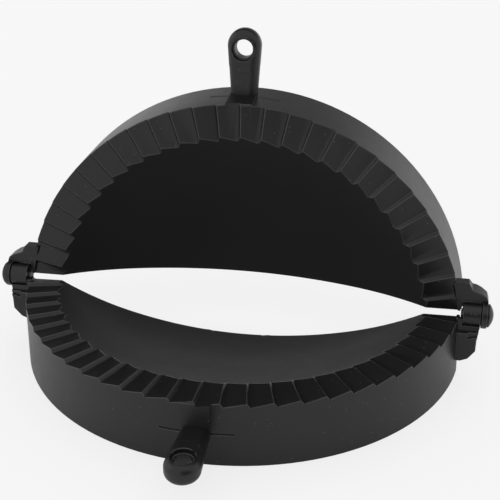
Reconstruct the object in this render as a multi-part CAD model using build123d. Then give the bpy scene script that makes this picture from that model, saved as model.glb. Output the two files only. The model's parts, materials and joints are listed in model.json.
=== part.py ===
from build123d import *
from math import cos, radians, sin, sqrt, tan
import os

# Hand press for crimping filled turnovers: two half-round shells, hinged at both ends of their straight side.
# Millimetres and degrees. Each half is modelled rim up, with the hinge line on the X axis, its round side
# towards -Y and the mating half above it. The upper half is then swung to its resting place.

# Round shell, revolved about an upright line behind the hinge line
rim_radius = 93.0           # outer edge of the tooth band
centre_behind = 12.5        # from the hinge line back to the centre of the round shapes
straight_side_gap = 0.6     # the straight side stops this far short of the hinge line
crest_drop = 0.25           # tooth crests lie this far below the hinge line
skirt_height = 27.0         # from the crests to the bottom edge
skirt_flare = 0.9           # the bottom edge stands out by this much
skirt_wall = 2.2
lower_dish = (19.5, 185.0)  # depth from the crests to the dish's lowest point, and radius of its sphere
upper_dish = (21.75, 172.0)
dish_edge_start = 50.0      # from this radius the dish curves up more, to the inner end of the crests
dish_wall = 2.0
band_width = 12.7           # from the rim to the inner end of a crest
teeth_start = 74.0          # inside this radius the dish lies below the gaps between the teeth
band_wall = 4.8             # from the crests to the underside of the band

# Crimping teeth
tooth_pitch = 6.0           # degrees
tooth_depth = 1.9           # drop of a tooth across its width, at the rim
tooth_draft = 34.0          # lean of the steps between the teeth
teeth_each_side = 14        # counted from the middle, the cut one at the end included
cutter_spare = 1.0          # cutting tools pass the surface that they cut by this much

# Handle
handle_drop = 13.2          # from the crests to the middle of its thickness
handle_reach = 20.8         # from the rim to the centre of the head
handle_offset = 0.5         # the handle stands this far to the right of the middle
hole_inset = 1.0            # the hole's centre is nearer to the rim than the head's by this much
handle_root_width = 10.4
head_radius = 6.65
head_thickness = 8.2
stem_thickness = 7.0
handle_rounding = 3.3
boss_radius = 9.1           # the thicker head ends in this circle about the hole
hang_hole_radius = 3.6
hang_lip_radius = 4.6
hang_lip_depth = 1.5
pad_thickness = 1.6         # sloping pad from the rim down to the stem
pad_top_drop = 0.8
pad_top_thickness = 0.5

# Parting line beside the handle
line_half_length = 14.0
line_width = 0.8
line_depth = 0.5

# Knuckles, ears and pins, from the middle outwards along X. The knuckles start at the rim.
pin_tip = 0.25              # the pin stands out of its collar by this much
pin_tip_bevel = 0.3
collar_length = 1.6
collar_seat = 1.2           # depth of the collar's seat in the knuckle's inner end
knuckle_length = 7.3
ear_gap = 0.2
ear_thickness = 2.3
head_gap = 0.2
pin_head_height = 2.3
pin_head_edge = 0.5
pin_radius = 1.7
collar_radius = 2.2
knuckle_radius = 4.7
ear_radius = 5.4
pin_head_radius = 4.8
grip_clearance = 0.02       # pin in knuckle and in collar, collar in its seat
running_clearance = 0.07    # pin in ear, which turns on it
swing_clearance = 0.7       # round the knuckle, where the upper half turns past it
end_clearance = 0.45        # beside the knuckle's inner end
collar_clearance = 0.3      # round the collar and the pin's end, in both halves

# Lugs, measured from the hinge line in depth (towards the round side) and drop (away from the rim),
# and outwards along X from the rim. The lower lug's root rises to the rim by the knuckle's inner end.
lug_sink = 1.1              # the lugs reach into the skirt's wall by this much
lug_ledge_drop = 3.4        # lower lug: ledge under the knuckle
lug_ledge_depth = 4.1
lug_scoop_depth = 4.6       # hollow in front of the ledge
lug_scoop_drop = 5.2
lug_brow_drop = 5.7
lug_depth = 6.5
lug_face_drop = 14.0
lug_foot_depth = 5.2
lug_foot_drop = 19.5
lug_side_drop = 8.5         # outer side: it draws in by lug_side_draw over this drop
lug_side_draw = 0.9
lug_bevel_drop = 13.6       # cut-off outer lower corner, in two flats
lug_bevel_draw = 3.6
lug_bevel_end = 18.0
lug_foot_draw = 6.4
recess_start = 2.8          # shallow recess in the outer upper corner
recess_depth = 0.8
recess_drop = 8.0
recess_rise = 1.6
arm_drop = 0.6              # upper half's arm, over the knuckle to the ear
arm_depth = 13.1
arm_root_end = 1.6
arm_scoop = 3.2
arm_scoop_depth = 10.1
arm_saddle = 6.8
arm_saddle_depth = 8.9
arm_shoulder_in = 0.7
arm_shoulder_depth = 7.5
arm_tip_depth = 5.6
arm_top_drop = 5.8
arm_waist_depth = 9.0
arm_waist_drop = 9.5
arm_foot_depth = 6.0
arm_foot_drop = 14.0
arm_tip_drop = 7.0

rest_opening = 93.6         # angle between the halves as the press stands open

crest = -crest_drop
bottom = crest - skirt_height
handle_height = crest - handle_drop
knuckle_start = rim_radius
knuckle_end = knuckle_start + knuckle_length
ear_start = knuckle_end + ear_gap
ear_end = ear_start + ear_thickness
pin_head_start = ear_end + head_gap
collar_end = knuckle_start + collar_seat
collar_start = collar_end - collar_length
pin_end = collar_start - pin_tip
rim_front = centre_behind - rim_radius
head_centre = rim_front - handle_reach
hole_centre = head_centre + hole_inset


def wall_radius(z):
    """Outer radius of the skirt at height z."""
    return rim_radius + skirt_flare * (crest - z) / skirt_height


def dish_height(dish, radius):
    """Height of a dish's sphere, given as its depth and radius, at a distance from its middle."""
    depth, sphere = dish
    return crest - depth + sphere - sqrt(sphere ** 2 - radius ** 2)


def shell(dish):
    """Skirt, tooth band and dish of one half, before the teeth are cut."""
    under = crest - band_wall
    back = (dish[0] + dish_wall, dish[1] + dish_wall)
    under_radius = sqrt(back[1] ** 2 - (back[1] - back[0] + band_wall) ** 2)
    crest_end = (rim_radius - band_width, 0, crest)
    edge_start = (dish_edge_start, 0, dish_height(dish, dish_edge_start))
    edge_rise = dish_edge_start / sqrt(dish[1] ** 2 - dish_edge_start ** 2)

    def arc(curve, radius):
        return ThreePointArc((radius, 0, dish_height(curve, radius)),
                             (radius / 2, 0, dish_height(curve, radius / 2)), (0, 0, dish_height(curve, 0)))

    outline = Curve() + [
        Polyline((wall_radius(bottom), 0, bottom), (rim_radius, 0, crest), crest_end),
        TangentArc(edge_start, crest_end, tangent=(1, 0, edge_rise)),
        arc(dish, dish_edge_start),
        Line((0, 0, dish_height(dish, 0)), (0, 0, dish_height(back, 0))),
        arc(back, under_radius),
        Polyline((under_radius, 0, under), (wall_radius(under) - skirt_wall, 0, under),
                 (wall_radius(bottom) - skirt_wall, 0, bottom), (wall_radius(bottom), 0, bottom)),
    ]
    whole = Pos(0, centre_behind, 0) * revolve(make_face(outline), Axis.Z, 360)
    return split(whole, bisect_by=Plane.XZ.offset(straight_side_gap), keep=Keep.TOP)


def tooth_cutter(step):
    """Wedge over one tooth: full depth at its left boundary, whose step leans, and running out at its right one."""
    left = radians(tooth_pitch * step)
    right = left + radians(tooth_pitch)
    fall = tooth_depth / (rim_radius * sin(right - left))
    lean = tan(radians(tooth_draft))
    foot = tooth_depth * lean / 2
    top = crest + cutter_spare

    def corner(radius, angle, along, z):
        return Vector(radius * sin(angle) + along * cos(angle),
                      centre_behind - radius * cos(angle) + along * sin(angle), z)

    def section(radius):
        floor = crest - fall * (radius * sin(right - left) - foot * cos(right - left))
        return [corner(radius, right, 0, crest), corner(radius, left, foot, floor),
                corner(radius, left, foot - (top - floor) * lean, top), corner(radius, right, 0, top)]

    inner, outer = section(teeth_start), section(rim_radius + cutter_spare)
    sides = [[inner[i], inner[(i + 1) % 4], outer[(i + 1) % 4], outer[i]] for i in range(4)]
    ends = [[points[0], points[i], points[i + 1]] for points in (inner, outer) for i in (1, 2)]
    return Solid(Shell([Face(Wire.make_polygon(points)) for points in sides + ends]))


def side_block(outline, start, end):
    """Block with an outline given as (y, z) points, from x = start to x = end."""
    face = make_face(Polyline([(start, y, z) for y, z in outline], close=True))
    return extrude(face, end - start, dir=(1, 0, 0))


def hinge_cylinder(radius, start, end):
    """Cylinder about the hinge line, from x = start to x = end."""
    return Pos((start + end) / 2, 0, 0) * Rot(0, 90, 0) * Cylinder(radius, end - start)


def handle():
    """Tapered stem with a rounded, thicker head and a hole to hang it by, and the pad above its root."""
    root = rim_front + skirt_wall / 2
    head = Pos(handle_offset, head_centre, 0) * Circle(head_radius)
    root_line = Line((handle_offset - handle_root_width / 2, root), (handle_offset + handle_root_width / 2, root))
    plan = make_hull(head.edges() + root_line.edges())

    def slab(thickness):
        body = Pos(0, 0, handle_height - thickness / 2) * extrude(plan, thickness)
        rims = [e for e in body.edges() if abs(e.center().Z - handle_height) > thickness / 2 - 0.01]
        soft = [e for e in rims if e.center().Y < root - 0.01]
        return fillet(soft, min(handle_rounding, 0.45 * thickness))

    at_hole = Pos(handle_offset, hole_centre, handle_height)
    body = slab(stem_thickness) + (slab(head_thickness) & at_hole * Cylinder(boss_radius, head_thickness))
    body -= at_hole * Cylinder(hang_hole_radius, head_thickness + cutter_spare)
    for side in (-1, 1):
        lip_centre = side * (head_thickness - hang_lip_depth) / 2
        body -= at_hole * Pos(0, 0, lip_centre) * Cylinder(hang_lip_radius, hang_lip_depth)
    pad_foot = handle_height + stem_thickness / 4
    pad_top = centre_behind - wall_radius(crest) - pad_top_thickness
    pad = side_block([(root, crest - pad_top_drop), (pad_top, crest - pad_top_drop),
                      (centre_behind - wall_radius(pad_foot) - pad_thickness, pad_foot), (root, pad_foot)],
                     handle_offset - handle_root_width / 2, handle_offset + handle_root_width / 2)
    return body + pad


def parting_line():
    """Shallow groove along the skirt on both sides of the handle."""
    middle = wall_radius(handle_height)
    ring = Cylinder(middle + cutter_spare, line_width) - Cylinder(middle - line_depth, line_width)
    strip = Pos(handle_offset, rim_front, handle_height) * Box(2 * line_half_length, rim_radius / 2, line_width)
    return (Pos(0, centre_behind, handle_height) * ring) & strip


def plain_half(dish):
    """What the two halves share: shell, teeth and handle."""
    body = shell(dish) - parting_line()
    body += handle()
    return body - [tooth_cutter(step) for step in range(-teeth_each_side, teeth_each_side)]


def both_ends(feature):
    """A feature of the right end and its mirror image at the left end."""
    return feature + mirror(feature, Plane.YZ)


def seen_from_front(points, reach):
    """Block with an outline given as (x, drop) points, from the hinge line towards the round side."""
    return extrude(Plane.XZ * make_face(Polyline([(x, -drop) for x, drop in points], close=True)), reach)


def seen_from_end(points, end):
    """Block with an outline given as (depth, drop) points, from the skirt's right end to x = end."""
    return side_block([(-depth, -drop) for depth, drop in points], rim_radius - 3 * skirt_wall, end)


def outside_skirt(block, start, end):
    """What of a block at the right end lies outside the skirt, with a little sunk in its wall."""
    core = Cone(wall_radius(-end) - lug_sink, wall_radius(-start) - lug_sink, end - start)
    return block - Pos(0, centre_behind, -(start + end) / 2) * core


def lower_lug():
    """Lower half's lug: ledge and slope in front of the knuckle, and its outer lower corner cut off."""
    profile = seen_from_end([(straight_side_gap, lug_ledge_drop), (lug_ledge_depth, lug_ledge_drop),
                             (lug_scoop_depth, lug_scoop_drop), (lug_depth, lug_brow_drop), (lug_depth, lug_face_drop),
                             (lug_foot_depth, lug_foot_drop), (straight_side_gap, lug_foot_drop)], knuckle_end)
    inside = rim_radius - 3 * skirt_wall
    side = knuckle_end - lug_side_draw
    recess_side = rim_radius + recess_start
    front = seen_from_front([(inside, lug_ledge_drop), (knuckle_end, lug_ledge_drop), (side, lug_side_drop),
                             (side, lug_bevel_drop), (knuckle_end - lug_bevel_draw, lug_bevel_end),
                             (knuckle_end - lug_foot_draw, lug_foot_drop), (inside, lug_foot_drop)],
                            lug_depth + cutter_spare)
    recess = seen_from_front([(recess_side, lug_ledge_drop), (knuckle_end + cutter_spare, lug_ledge_drop),
                              (knuckle_end + cutter_spare, recess_drop - recess_rise),
                              (recess_side, recess_drop)], lug_depth + cutter_spare)
    kept = seen_from_end([(0, 0), (lug_depth - recess_depth, 0), (lug_depth - recess_depth, lug_foot_drop),
                          (0, lug_foot_drop)], knuckle_end + cutter_spare)
    root = seen_from_end([(straight_side_gap, crest_drop), (lug_ledge_depth, crest_drop),
                          (lug_ledge_depth, lug_face_drop), (straight_side_gap, lug_face_drop)], knuckle_start)
    block = (profile & front) - (recess - kept) + root
    return outside_skirt(block, crest_drop, lug_foot_drop)


def upper_lug():
    """Upper half's arm, which reaches over the knuckle to the ear outside it."""
    inside = rim_radius - 3 * skirt_wall
    plan = make_face(Polyline([
        (inside, -straight_side_gap), (inside, -arm_depth), (rim_radius + arm_root_end, -arm_depth),
        (rim_radius + arm_scoop, -arm_scoop_depth), (rim_radius + arm_saddle, -arm_saddle_depth),
        (ear_end - arm_shoulder_in, -arm_shoulder_depth), (ear_end, -arm_tip_depth),
        (ear_end, -straight_side_gap)], close=True))
    front = seen_from_front([(inside, arm_drop), (ear_end, arm_drop), (ear_end, arm_tip_drop),
                             (inside, arm_foot_drop)], arm_depth + cutter_spare)
    profile = seen_from_end([(straight_side_gap, arm_drop), (arm_depth, arm_drop), (arm_depth, arm_top_drop),
                             (arm_waist_depth, arm_waist_drop), (arm_foot_depth, arm_foot_drop),
                             (straight_side_gap, arm_foot_drop)], ear_end)
    arm = Pos(0, 0, -arm_foot_drop) * extrude(plan, arm_foot_drop) & front & profile
    return outside_skirt(arm, arm_drop, arm_foot_drop)


def collar_room():
    """Room round the collar and the pin's end."""
    return hinge_cylinder(collar_radius + collar_clearance, pin_end - collar_clearance, knuckle_start)


def lower_half():
    """Half that lies on the table, with the knuckles that hold the pins."""
    knuckle = hinge_cylinder(knuckle_radius, knuckle_start, knuckle_end)
    bore = hinge_cylinder(pin_radius + grip_clearance, knuckle_start - cutter_spare, knuckle_end + cutter_spare)
    seat = hinge_cylinder(collar_radius + grip_clearance, knuckle_start - cutter_spare, knuckle_start + collar_seat)
    body = plain_half(lower_dish) + both_ends(lower_lug()) + both_ends(knuckle)
    return body - both_ends(collar_room()) - both_ends(bore + seat)


def upper_half():
    """Half that swings, with the ears that turn on the pins."""
    room = hinge_cylinder(knuckle_radius + swing_clearance, knuckle_start - end_clearance, ear_start) + collar_room()
    ear = hinge_cylinder(ear_radius, ear_start, ear_end)
    bore = hinge_cylinder(pin_radius + running_clearance, ear_start - cutter_spare, ear_end + cutter_spare)
    return plain_half(upper_dish) + both_ends(upper_lug()) - both_ends(room) + both_ends(ear) - both_ends(bore)


def hinge_pin():
    """Right hinge pin: a shank with a bevelled end and a domed head outside the ear."""
    tip = pin_end
    top = pin_head_start + pin_head_height
    dome_side = pin_head_start + pin_head_edge
    dome_curve = ((top - dome_side) ** 2 + pin_head_radius ** 2) / (2 * (top - dome_side))
    middle_x = top - dome_curve + sqrt(dome_curve ** 2 - (pin_head_radius / 2) ** 2)
    outline = Curve() + [
        Polyline((tip, 0, 0), (tip, 0, pin_radius - pin_tip_bevel), (tip + pin_tip_bevel, 0, pin_radius),
                 (pin_head_start, 0, pin_radius), (pin_head_start, 0, pin_head_radius),
                 (dome_side, 0, pin_head_radius)),
        ThreePointArc((dome_side, 0, pin_head_radius), (middle_x, 0, pin_head_radius / 2), (top, 0, 0)),
        Line((top, 0, 0), (tip, 0, 0)),
    ]
    return revolve(make_face(outline), Axis.X, 360)


def pin_collar():
    """Right collar, pushed on to the pin's inner end and into its seat."""
    ring = hinge_cylinder(collar_radius, collar_start, collar_end)
    return ring - hinge_cylinder(pin_radius + grip_clearance, collar_start, collar_end)


def left(piece):
    """The left counterpart of a right-hand piece that is round about the hinge line."""
    return piece.rotate(Axis.Z, 180)


def assembled():
    """Every piece by name, with the hinge line on the X axis and the press standing open."""
    return {
        "lower_half": lower_half(),
        "upper_half": upper_half().rotate(Axis.Z, 180).rotate(Axis.X, 180 - rest_opening),
        "left_hinge_pin": left(hinge_pin()),
        "right_hinge_pin": hinge_pin(),
        "left_pin_collar": left(pin_collar()),
        "right_pin_collar": pin_collar(),
    }


def main():
    """Set the press down with its origin under its middle, and write one file for each piece."""
    pieces = assembled()
    box = Compound(children=[piece.moved(Location()) for piece in pieces.values()]).bounding_box()
    origin = Vector(box.center().X, box.center().Y, box.min.Z)
    os.makedirs("parts", exist_ok=True)
    for name, piece in pieces.items():
        export_step(piece.moved(Location(-origin)), f"parts/{name}.step")
    print("hinge line at", -origin)


main()
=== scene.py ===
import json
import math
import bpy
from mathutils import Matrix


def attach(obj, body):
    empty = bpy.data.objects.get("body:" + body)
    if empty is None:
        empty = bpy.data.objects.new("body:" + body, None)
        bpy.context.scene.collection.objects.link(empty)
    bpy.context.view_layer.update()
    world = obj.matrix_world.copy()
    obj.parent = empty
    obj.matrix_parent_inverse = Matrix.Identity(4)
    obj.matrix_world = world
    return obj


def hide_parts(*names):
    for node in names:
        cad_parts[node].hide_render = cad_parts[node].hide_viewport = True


bl_info = {
    "name": "Turnover press",
    "version": (1, 0, 0),
    "blender": (4, 5, 0),
    "location": "View3D > Sidebar > Press",
    "description": "Dresses a hinged hand press for crimping filled turnovers",
    "category": "Object",
}

import bmesh
import bpy
from mathutils import Matrix, Vector

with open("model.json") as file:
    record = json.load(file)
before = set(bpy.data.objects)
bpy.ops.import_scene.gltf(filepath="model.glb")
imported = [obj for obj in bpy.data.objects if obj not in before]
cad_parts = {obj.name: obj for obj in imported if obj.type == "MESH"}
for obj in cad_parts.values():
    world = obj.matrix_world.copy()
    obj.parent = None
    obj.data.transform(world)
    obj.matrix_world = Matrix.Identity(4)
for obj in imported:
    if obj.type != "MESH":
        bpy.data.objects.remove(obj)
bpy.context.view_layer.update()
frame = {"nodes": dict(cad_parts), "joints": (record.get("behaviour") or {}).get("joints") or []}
MM = 0.001
HINGE = Vector(frame["joints"][0]["pos_m"])
SHELLS = {"lower_half": "lower", "upper_half": "upper"}
FITTINGS = {
    "left_hinge_pin": "pin", "right_hinge_pin": "pin",
    "left_pin_collar": "collar", "right_pin_collar": "collar"}

# Round shapes of a half, in its own frame: rim up, hinge line on the X axis, round side towards -Y
AXIS_BEHIND = 12.5 * MM
CREST = -0.25 * MM
RIM_RADIUS = 93.0 * MM
BAND_WIDTH = 12.7 * MM
SKIRT_FLARE = 0.9 / 27.0
SKIRT_WALL = 2.2 * MM
DISH_WALL = 2.0 * MM
DISH_EDGE_START = 50.0 * MM
DISHES = {"lower_half": (19.5 * MM, 185.0 * MM), "upper_half": (21.75 * MM, 172.0 * MM)}
SWUNG = math.pi + math.radians(frame["joints"][0]["range_deg"][0])
TURNS = {
    "lower_half": Matrix(),
    "upper_half": Matrix.Rotation(SWUNG, 4, "X") @ Matrix.Rotation(math.pi, 4, "Z")}
TEETH_INSIDE = RIM_RADIUS - 1.4 * BAND_WIDTH    # the teeth lie outside this radius
TEETH_LOWEST = CREST - 2.4 * MM                 # and above this height

# Clean-up and rounding of a solid's mesh
MERGE_DISTANCE = 0.002 * MM
FLAT_ANGLE = math.radians(0.6)          # faces that meet at less than this become one
SHORTEST_EDGE = 0.01 * MM
EDGE_ROOM = 1.3                         # edges beside a rounding are at least this many times its width
ROUNDING_SEGMENTS = 2
SURFACE_TOLERANCE = 0.2 * MM            # a face lies on a round surface if its corners are as near as this
SURFACE_AGREEMENT = 0.9                 # and the cosine between their normals is above this
DISH_EDGE_SLACK = 0.05 * MM             # the dish's edge starts this much before its first corners
MARKS = ("corner", "crease", "dish")    # face attributes that the plastic reads

# Surface of the plastic
REFRACTION = 1.49
CLOUD_SIZE = 28 * MM
PATCH_SIZE = 5 * MM
FLECK_SPACING = 2.6 * MM
FLECK_RADIUS = 0.1                      # as a share of their spacing
FLECK_GROUP_SIZE = 2.1 * MM
FLECK_GROUP_EDGE = 0.52                 # flecks show where the grouping noise is above this
CLOUD_SHARES = (0.82, 1.18)             # share of the colour where the clouding is darkest and lightest
CLOUD_ROUGHNESS = 0.10
PATCH_ROUGHNESS = 0.08
EVEN_WEAR_AND_HIGHLIGHT = 0.35                        # share of the corners' wear and painted highlight that isn't in patches
CORNER_POLISH = 0.12                    # drop in roughness at the corners
# share of black mixed into the dishes' colour: painted shade in the hollows
DISH_PAINTED_SHADE = 0.35
# Painted shade in the creases between the teeth: a darker colour with less gloss
CREASE_SHADE_SHARE = 0.4                      # share of the colour that the creases keep, as painted shade
CREASE_ROUGHNESS = 0.6
CREASE_GLOSS = 0.15
PIN_PATCH_SIZE = 1.5 * MM
PIN_PATCH_SHARES = (0.85, 1.3)          # share of the colour between the patches and in them
PIN_PATCH_ROUGHNESS = 0.14
PIN_GRAIN_SIZE = 0.2 * MM
PIN_GRAIN_HEIGHT = 0.004 * MM

# Stage, in metres from the hinge line's middle
FLOOR_HALF_SIZE = 3.0
FLOOR_SEEN_WHITE = 0.75                 # share of plain white in the floor as the camera sees it
FLOOR_MIRRORED_WHITE = 0.1              # and as the plastic mirrors it
SENSOR_WIDTH = 36
NEAREST_SEEN = 0.01
SIDE_LIGHT_PLACE = Vector((-0.9, -0.2, 0.5))
SIDE_LIGHT_SIZE = 0.5
CARDS = {  # place, point that it faces, width and height
    "back_card": (Vector((0, 1.0, 0.95)), Vector((0, 0, 0.2)), (2.6, 1.5)),
    "front_card": (Vector((0.33, -0.33, 0.11)), Vector((0.33, 0, 0.11)), (0.6, 0.27))}


# --- sizes and colours a user would change ----------------------------------------------------------------

class PressShellSettings(bpy.types.PropertyGroup):
    """The two black mouldings."""
    edge_radius: bpy.props.FloatProperty(
        name="Edge radius", description="Rounding of the mouldings' outside corners that have room for it",
        default=0.28 * MM, unit="LENGTH")
    edge_angle: bpy.props.FloatProperty(
        name="Edge angle", description="Corners and creases sharper than this are rounded",
        default=math.radians(24), subtype="ANGLE")
    crease_radius: bpy.props.FloatProperty(
        name="Crease radius", description="Rounding of the creases between the teeth that have room for it",
        default=0.6 * MM, unit="LENGTH")
    colour: bpy.props.FloatVectorProperty(
        name="Plastic", description="Colour of the black plastic",
        default=(0.008, 0.008, 0.0088), subtype="COLOR", min=0, max=1)
    # lighter rounded corners: partly real wear, partly a painted highlight along the edges
    worn_and_highlight_colour: bpy.props.FloatVectorProperty(
        name="Rubbed corners", description="Colour of the corners that hands and dough rub",
        default=(0.055, 0.055, 0.057), subtype="COLOR", min=0, max=1)
    fleck_colour: bpy.props.FloatVectorProperty(
        name="Flecks", description="Colour of the fine pale flecks in the plastic",
        default=(0.075, 0.075, 0.078), subtype="COLOR", min=0, max=1)
    roughness: bpy.props.FloatProperty(
        name="Roughness", description="Roughness of the satin surface", default=0.34, min=0, max=1)
    dish_roughness: bpy.props.FloatProperty(
        name="Dish roughness", description="Roughness of the duller dishes", default=0.56, min=0, max=1)
    grain_size: bpy.props.FloatProperty(
        name="Grain size", description="Size of the surface's fine grain", default=0.35 * MM, unit="LENGTH")
    grain_height: bpy.props.FloatProperty(
        name="Grain height", description="Depth of the surface's fine grain",
        default=0.012 * MM, unit="LENGTH")


class PressHingeSettings(bpy.types.PropertyGroup):
    """The pins and collars at both ends of the hinge."""
    edge_radius: bpy.props.FloatProperty(
        name="Edge radius", description="Rounding of the pins' and collars' corners that have room for it",
        default=0.15 * MM, unit="LENGTH")
    edge_angle: bpy.props.FloatProperty(
        name="Edge angle", description="Corners and creases sharper than this are rounded",
        default=math.radians(35), subtype="ANGLE")
    colour: bpy.props.FloatVectorProperty(
        name="Pin plastic", description="Colour of the smooth plastic of pins and collars",
        default=(0.009, 0.009, 0.0095), subtype="COLOR", min=0, max=1)
    roughness: bpy.props.FloatProperty(
        name="Pin roughness", description="Roughness of the smooth plastic", default=0.3, min=0, max=1)


class PressStageSettings(bpy.types.PropertyGroup):
    """Camera, floor, room, side light and cards."""
    azimuth: bpy.props.FloatProperty(
        name="Azimuth", description="Camera's turn about the press",
        default=math.radians(11.478), subtype="ANGLE")
    elevation: bpy.props.FloatProperty(
        name="Elevation", description="Camera's height above the horizon",
        default=math.radians(28.91), subtype="ANGLE")
    roll: bpy.props.FloatProperty(
        name="Roll", description="Camera's turn about its own axis",
        default=math.radians(-0.462), subtype="ANGLE")
    distance: bpy.props.FloatProperty(
        name="Distance", description="From the camera to the hinge line's middle",
        default=0.43246, unit="LENGTH")
    lens: bpy.props.FloatProperty(
        name="Lens", description="Focal length for a 36 mm wide frame, in millimetres", default=73.73)
    shift: bpy.props.FloatVectorProperty(
        name="Shift", description="Camera shift, as a share of the frame's width",
        size=2, default=(0.0237, 0.0864))
    floor_colour: bpy.props.FloatVectorProperty(
        name="Floor", description="Colour of the floor",
        default=(0.9, 0.9, 0.9), subtype="COLOR", min=0, max=1)
    side_power: bpy.props.FloatProperty(
        name="Side light", description="Power of the light on the left", default=0.3)
    card_brightness: bpy.props.FloatProperty(
        name="Card brightness", description="Brightness of the grey cards that the plastic mirrors",
        default=0.12)
    fill_light: bpy.props.FloatProperty(
        name="Fill light", description="Strength of the room's light on matt surfaces", default=1.0)


# --- shader expressions -----------------------------------------------------------------------------------

class Value:
    """A socket of a node tree that takes part in arithmetic."""

    def __init__(self, nodes, socket):
        self.nodes = nodes
        self.socket = socket

    def combine(self, operation, first, second):
        return self.nodes.add("ShaderNodeMath", {"operation": operation}, {0: first, 1: second})

    def __add__(self, other):
        return self.combine("ADD", self, other)

    __radd__ = __add__

    def __sub__(self, other):
        return self.combine("SUBTRACT", self, other)

    def __rsub__(self, other):
        return self.combine("SUBTRACT", other, self)

    def __mul__(self, other):
        return self.combine("MULTIPLY", self, other)

    __rmul__ = __mul__

    def __gt__(self, other):
        return self.combine("GREATER_THAN", self, other)

    def __lt__(self, other):
        return self.combine("LESS_THAN", self, other)


class Nodes:
    """The node tree of a material or world."""

    def __init__(self, owner):
        self.owner = owner
        owner.use_nodes = True
        self.tree = owner.node_tree
        self.tree.nodes.clear()

    def add(self, kind, settings=None, inputs=None, output=0):
        """Adds a node, sets it and links its inputs; returns one of its outputs as a Value."""
        node = self.tree.nodes.new(kind)
        for key, setting in (settings or {}).items():
            setattr(node, key, setting)
        for key, value in (inputs or {}).items():
            if isinstance(value, Value):
                self.tree.links.new(value.socket, node.inputs[key])
            else:
                node.inputs[key].default_value = value
        return Value(self, node.outputs[output]) if node.outputs else None

    def ray(self, kind):
        """1 for rays of one kind, such as Camera, and 0 for others."""
        return self.add("ShaderNodeLightPath", output=f"Is {kind} Ray")

    def mark(self, name):
        """A face attribute, which is 0 or 1."""
        return self.add("ShaderNodeAttribute", {"attribute_name": name}, output="Fac")

    def place(self):
        """Where a point lies on the object, in metres."""
        return self.add("ShaderNodeTexCoord", output="Object")

    def noise(self, size, detail=2.0, roughness=0.5):
        """Noise with features of this size, in metres."""
        return self.add("ShaderNodeTexNoise", inputs={
            "Vector": self.place(), "Scale": 1 / size, "Detail": detail, "Roughness": roughness},
            output="Fac")

    def mix(self, share, first, second):
        """Mix of two colours."""
        return self.add("ShaderNodeMix", {"data_type": "RGBA"}, {0: share, 6: first, 7: second}, output=2)

    def bump(self, height, distance):
        """Normal of a surface that rises by this distance where the height is 1."""
        return self.add("ShaderNodeBump", inputs={
            "Strength": 1.0, "Distance": distance, "Height": height}, output="Normal")

    def finish(self, surface, output="ShaderNodeOutputMaterial"):
        """Links a shader to the output."""
        self.add(output, inputs={"Surface": surface})
        return self.owner


def opaque(colour, share=1.0):
    """A share of a colour, with full alpha."""
    return (*(share * part for part in colour), 1.0)


def shell_plastic(settings):
    """Satin black plastic: fine grain, faint clouding, pale flecks, corners lightened by wear and a painted
    highlight, and painted shade in the dishes and in the creases between the teeth.
    """
    n = Nodes(bpy.data.materials.new("satin_black_plastic"))
    corner, crease, dish = (n.mark(name) for name in MARKS)
    clouding = n.noise(CLOUD_SIZE, detail=4.0)
    patches = n.noise(PATCH_SIZE, detail=3.0)
    spots = n.add(
        "ShaderNodeTexVoronoi", {"feature": "F1"}, {"Vector": n.place(), "Scale": 1 / FLECK_SPACING})
    fleck = (spots < FLECK_RADIUS) * (n.noise(FLECK_GROUP_SIZE, detail=0.0) > FLECK_GROUP_EDGE) * (1 - dish)
    # corners lightened by wear and by a painted highlight, partly in patches
    rubbed_and_highlit = corner * (EVEN_WEAR_AND_HIGHLIGHT + (1 - EVEN_WEAR_AND_HIGHLIGHT) * patches)
    base = n.mix(clouding, *(opaque(settings.colour, share) for share in CLOUD_SHARES))
    # painted shade: the dishes' colour is darkened towards black
    base = n.mix(DISH_PAINTED_SHADE * dish, base, opaque((0, 0, 0)))
    base = n.mix(rubbed_and_highlit, base, opaque(settings.worn_and_highlight_colour))
    base = n.mix(fleck, base, opaque(settings.fleck_colour))
    roughness = (settings.roughness + (settings.dish_roughness - settings.roughness) * dish
                 + CLOUD_ROUGHNESS * (clouding - 0.5) + PATCH_ROUGHNESS * (patches - 0.5)
                 - CORNER_POLISH * corner)
    grain = n.noise(settings.grain_size, detail=3.0, roughness=0.6)
    surface = n.add("ShaderNodeBsdfPrincipled", inputs={
        "Base Color": base, "Roughness": roughness, "Normal": n.bump(grain, settings.grain_height),
        "IOR": REFRACTION}, output="BSDF")
    # painted shade in the creases: a darker colour with less gloss
    shadowed = n.add("ShaderNodeBsdfPrincipled", inputs={
        "Base Color": opaque(settings.colour, CREASE_SHADE_SHARE), "Roughness": CREASE_ROUGHNESS,
        "Specular IOR Level": CREASE_GLOSS}, output="BSDF")
    return n.finish(n.add("ShaderNodeMixShader", inputs={0: crease, 1: surface, 2: shadowed}))


def pin_plastic(settings):
    """Smoother black plastic of pins and collars."""
    n = Nodes(bpy.data.materials.new("smooth_black_plastic"))
    patches = n.noise(PIN_PATCH_SIZE, detail=3.0)
    grain = n.noise(PIN_GRAIN_SIZE, detail=2.0)
    base = n.mix(patches, *(opaque(settings.colour, share) for share in PIN_PATCH_SHARES))
    surface = n.add("ShaderNodeBsdfPrincipled", inputs={
        "Base Color": base, "Roughness": settings.roughness + PIN_PATCH_ROUGHNESS * (patches - 0.5),
        "Normal": n.bump(grain, PIN_GRAIN_HEIGHT), "IOR": REFRACTION}, output="BSDF")
    return n.finish(surface)


# --- pieces -----------------------------------------------------------------------------------------------

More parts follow.
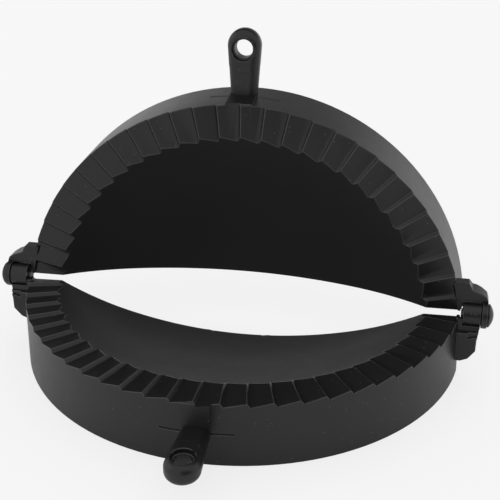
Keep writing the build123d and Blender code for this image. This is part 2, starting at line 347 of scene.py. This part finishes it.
def round_normals(node):
    """Functions from a point to its distance from the skirt, dish or dish's edge of a half, the thickness
    behind that surface and the surface's normal there."""
    place = Matrix.Translation(HINGE) @ TURNS[node]
    own = place.inverted()
    turn = place.to_3x3()
    depth, radius = DISHES[node]
    middle = Vector((0, AXIS_BEHIND, CREST - depth + radius))
    slope = math.asin(DISH_EDGE_START / radius)
    start = Vector((DISH_EDGE_START, middle.z - radius * math.cos(slope)))
    chord = Vector((RIM_RADIUS - BAND_WIDTH, CREST)) - start
    edge_radius = chord.length / (2 * math.sin(math.atan2(chord.y, chord.x) - slope))
    edge_middle = start + edge_radius * Vector((-math.sin(slope), math.cos(slope)))
    edge_limit = DISH_EDGE_START - DISH_EDGE_SLACK

    def skirt(point):
        inside = own @ point
        out = Vector((inside.x, inside.y - AXIS_BEHIND, 0))
        distance = out.length - RIM_RADIUS - SKIRT_FLARE * (CREST - inside.z)
        return distance, SKIRT_WALL, turn @ (out.normalized() + Vector((0, 0, SKIRT_FLARE))).normalized()

    def dish_edge(point):
        inside = own @ point
        out = Vector((inside.x, inside.y - AXIS_BEHIND, 0))
        across = Vector((out.length, inside.z)) - edge_middle
        distance = across.length - edge_radius if out.length > edge_limit else RIM_RADIUS
        return distance, 0, turn @ (across.x * out.normalized() + Vector((0, 0, across.y))).normalized()

    def dish(point):
        out = own @ point - middle
        return out.length - radius, -DISH_WALL, turn @ out.normalized()

    return skirt, dish_edge, dish


def shade(shape, rounded, surfaces, limit):
    """One normal for each face corner, and the faces of the dish. A normal is exact on the round surfaces,
    shared by faces that meet gently, and taken over from the neighbours by rounded corners."""
    def on_surface(face):
        for surface in surfaces:
            found = [surface(corner.co) for corner in face.verts]
            near = all(min(abs(distance), abs(distance + wall)) < SURFACE_TOLERANCE
                       for distance, wall, normal in found)
            if near and abs(found[0][2].dot(face.normal)) > SURFACE_AGREEMENT:
                return surface
        return None

    exact = {face: on_surface(face) for face in shape.faces if face not in rounded}

    def normal_at(face, corner):
        if exact[face]:
            normal = exact[face](corner.co)[2]
            return normal if normal.dot(face.normal) > 0 else -normal
        near = [face]
        for one in near:
            for edge in corner.link_edges:
                if one in edge.link_faces and edge.calc_face_angle(math.pi) < limit:
                    near += [other for other in edge.link_faces if other not in near and other not in rounded]
        weights = [next(loop for loop in other.loops if loop.vert == corner).calc_angle() for other in near]
        return sum((other.normal * weight for other, weight in zip(near, weights)), Vector()).normalized()

    normals = []
    for face in shape.faces:
        for corner in face.verts:
            if face not in rounded:
                normals.append(normal_at(face, corner))
                continue
            flat = [other for other in corner.link_faces if other not in rounded]
            if flat:
                normals.append(normal_at(max(flat, key=lambda other: other.normal.dot(face.normal)), corner))
            else:
                normals.append(sum((other.normal for other in corner.link_faces), Vector()).normalized())
    return normals, [face for face, surface in exact.items() if surface in surfaces[1:]]


def between_teeth(edge, own):
    """Whether an edge lies in the ring of teeth, below their crests."""
    middle = own @ (edge.verts[0].co / 2 + edge.verts[1].co / 2)
    away = Vector((middle.x, middle.y - AXIS_BEHIND)).length
    return TEETH_INSIDE < away < RIM_RADIUS and TEETH_LOWEST < middle.z < CREST


def rounding(shape, edges, width):
    """Rounds the edges that have room for it and returns the new faces."""
    roomy = [edge for edge in edges if all(
        other.calc_length() > EDGE_ROOM * width for corner in edge.verts for other in corner.link_edges)]
    return bmesh.ops.bevel(
        shape, geom=roomy, offset=width, offset_type="OFFSET", segments=ROUNDING_SEGMENTS, profile=0.5,
        affect="EDGES", clamp_overlap=False, material=-1)["faces"]


def soften(shape, node, radius, angle, crease_radius):
    """Rounds the creases between the teeth, then the outside corners; returns the marks of the new faces.
    The corners' rounding remakes most faces of the creases, which leaves those unmarked."""
    marks = {}
    if crease_radius:
        own = (Matrix.Translation(HINGE) @ TURNS[node]).inverted()
        creases = [edge for edge in shape.edges if edge.is_manifold and not edge.is_convex
                   and edge.calc_face_angle(0) > angle and between_teeth(edge, own)]
        marks.update(dict.fromkeys(rounding(shape, creases, crease_radius), "crease"))
    corners = [edge for edge in shape.edges if edge.is_convex and edge.calc_face_angle(0) > angle
               and not any(face in marks for face in edge.link_faces)]
    marks.update(dict.fromkeys(rounding(shape, corners, radius), "corner"))
    bmesh.ops.dissolve_degenerate(shape, dist=SHORTEST_EDGE, edges=shape.edges)
    shape.normal_update()
    return {face: mark for face, mark in marks.items() if face.is_valid}


def add_object(name, shape, material):
    """Adds an object with a shape's mesh and one material."""
    mesh = bpy.data.meshes.new(name)
    shape.to_mesh(mesh)
    shape.free()
    mesh.materials.append(material)
    added = bpy.data.objects.new(name, mesh)
    bpy.context.scene.collection.objects.link(added)
    return added


def add_piece(node, name, body, material, settings, crease_radius=None):
    """A merged copy of a solid with its corners rounded, in the solid's place."""
    source = frame["nodes"][node]
    shape = bmesh.new()
    shape.from_mesh(source.data)
    layers = {mark: shape.faces.layers.float.new(mark) for mark in MARKS}
    shape.transform(source.matrix_world)
    bmesh.ops.remove_doubles(shape, verts=shape.verts, dist=MERGE_DISTANCE)
    bmesh.ops.dissolve_limit(shape, angle_limit=FLAT_ANGLE, verts=shape.verts, edges=shape.edges)
    marks = soften(shape, node, settings.edge_radius, settings.edge_angle, crease_radius)
    surfaces = round_normals(node) if node in DISHES else ()
    normals, inside = shade(shape, marks, surfaces, settings.edge_angle)
    for face, mark in (*marks.items(), *((face, "dish") for face in inside)):
        face[layers[mark]] = 1.0
    piece = add_object(name, shape, material)
    piece.data.shade_smooth()
    piece.data.normals_split_custom_set(normals)
    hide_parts(node)
    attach(piece, body)


class PRESS_OT_shells(bpy.types.Operator):
    """Makes both halves' visible mouldings, with rounded corners and satin plastic"""
    bl_idname = "press.shells"
    bl_label = "Lower and upper halves"

    def execute(self, context):
        settings = context.scene.press_shell
        plastic = shell_plastic(settings)
        for node, body in SHELLS.items():
            add_piece(node, node + "_moulding", body, plastic, settings, settings.crease_radius)
        return {"FINISHED"}


class PRESS_OT_fittings(bpy.types.Operator):
    """Makes the hinge pins and their collars"""
    bl_idname = "press.fittings"
    bl_label = "Hinge pins and collars"

    def execute(self, context):
        settings = context.scene.press_hinge
        plastic = pin_plastic(settings)
        for node, slot in FITTINGS.items():
            add_piece(node, node + "_turned", "lower", plastic, settings)
        return {"FINISHED"}


# --- stage ------------------------------------------------------------------------------------------------

def add_camera(settings):
    """Camera that looks at the hinge line's middle from its distance, with the frame shifted."""
    turn, height = settings.azimuth, settings.elevation
    back = Vector((math.sin(turn) * math.cos(height), -math.cos(turn) * math.cos(height), math.sin(height)))
    level = Vector((math.cos(turn), math.sin(turn), 0))
    upright = back.cross(level)
    right = math.cos(settings.roll) * level + math.sin(settings.roll) * upright
    up = back.cross(right)
    camera = bpy.data.objects.new("camera", bpy.data.cameras.new("camera"))
    camera.matrix_world = Matrix.Translation(HINGE + back * settings.distance) @ Matrix(
        (right, up, back)).transposed().to_4x4()
    camera.data.sensor_width = SENSOR_WIDTH
    camera.data.lens = settings.lens
    camera.data.shift_x, camera.data.shift_y = settings.shift
    camera.data.clip_start = NEAREST_SEEN
    bpy.context.scene.collection.objects.link(camera)
    bpy.context.scene.camera = camera


def aimed(place, target, axis):
    """Matrix that puts an object at a place from the hinge, with one of its axes towards a target."""
    return Matrix.Translation(HINGE + place) @ (target - place).to_track_quat(axis, "Y").to_matrix().to_4x4()


def flat_sheet(half_size):
    """Shape of a level square sheet."""
    shape = bmesh.new()
    bmesh.ops.create_grid(shape, x_segments=1, y_segments=1, size=half_size)
    return shape


def add_side_light(settings):
    """A square soft light on the left, aimed at the hinge line's middle."""
    lamp = bpy.data.lights.new("side", "AREA")
    lamp.size = SIDE_LIGHT_SIZE
    lamp.energy = settings.side_power
    holder = bpy.data.objects.new("side", lamp)
    holder.matrix_world = aimed(SIDE_LIGHT_PLACE, Vector(), "-Z")
    bpy.context.scene.collection.objects.link(holder)


def add_floor(settings):
    """Pale floor that shows nearly white and keeps a soft shadow."""
    n = Nodes(bpy.data.materials.new("pale_floor"))
    share = n.ray("Camera") * FLOOR_SEEN_WHITE + n.ray("Glossy") * FLOOR_MIRRORED_WHITE
    matt = n.add("ShaderNodeBsdfDiffuse", inputs={"Color": opaque(settings.floor_colour)})
    white = n.add("ShaderNodeEmission", inputs={"Color": (1, 1, 1, 1), "Strength": 1.0})
    material = n.finish(n.add("ShaderNodeMixShader", inputs={0: share, 1: matt, 2: white}))
    add_object("floor", flat_sheet(FLOOR_HALF_SIZE), material)


def set_world(settings):
    """A white room to the camera and in reflections, with a strength of its own for matt surfaces."""
    n = Nodes(bpy.data.worlds.new("white_room"))
    shown = n.ray("Camera")
    for kind in ("Glossy", "Transmission"):
        shown = shown.combine("MAXIMUM", shown, n.ray(kind))
    strength = settings.fill_light + (1 - settings.fill_light) * shown
    bpy.context.scene.world = n.finish(
        n.add("ShaderNodeBackground", inputs={"Strength": strength}), "ShaderNodeOutputWorld")


def add_card(name, place, target, size, brightness):
    """A card of even brightness that shows in reflections alone."""
    n = Nodes(bpy.data.materials.new(name + "_grey"))
    grey = n.finish(n.add("ShaderNodeEmission", inputs={"Color": opaque([brightness] * 3), "Strength": 1.0}))
    shape = flat_sheet(half_size=0.5)
    shape.transform(aimed(place, target, "Z") @ Matrix.Diagonal((*size, 1, 1)))
    card = add_object(name, shape, grey)
    card.visible_camera = card.visible_diffuse = card.visible_shadow = card.visible_transmission = False


class PRESS_OT_stage(bpy.types.Operator):
    """Adds the camera, floor, white room, side light and the cards that the plastic mirrors"""
    bl_idname = "press.stage"
    bl_label = "Stage"

    def execute(self, context):
        settings = context.scene.press_stage
        add_camera(settings)
        add_floor(settings)
        set_world(settings)
        add_side_light(settings)
        for name, (place, target, size) in CARDS.items():
            add_card(name, place, target, size, settings.card_brightness)
        context.scene.view_settings.view_transform = "Standard"
        return {"FINISHED"}


class PRESS_PT_panel(bpy.types.Panel):
    """The press's pieces and stage"""
    bl_idname = "PRESS_PT_panel"
    bl_label = "Press"
    bl_space_type = "VIEW_3D"
    bl_region_type = "UI"
    bl_category = "Press"

    def draw(self, context):
        for group in (context.scene.press_shell, context.scene.press_hinge, context.scene.press_stage):
            box = self.layout.box()
            for name in group.__annotations__:
                box.prop(group, name)
        for operator in OPERATORS:
            self.layout.operator(operator.bl_idname)


OPERATORS = (PRESS_OT_shells, PRESS_OT_fittings, PRESS_OT_stage)
GROUPS = {
    "press_shell": PressShellSettings, "press_hinge": PressHingeSettings, "press_stage": PressStageSettings}
CLASSES = (*GROUPS.values(), *OPERATORS, PRESS_PT_panel)


def register():
    for cls in CLASSES:
        bpy.utils.register_class(cls)
    for name, group in GROUPS.items():
        setattr(bpy.types.Scene, name, bpy.props.PointerProperty(type=group))


def unregister():
    for name in GROUPS:
        delattr(bpy.types.Scene, name)
    for cls in reversed(CLASSES):
        bpy.utils.unregister_class(cls)


def main():
    register()
    bpy.ops.press.shells()
    bpy.ops.press.fittings()
    bpy.ops.press.stage()


if __name__ == "__main__":
    main()
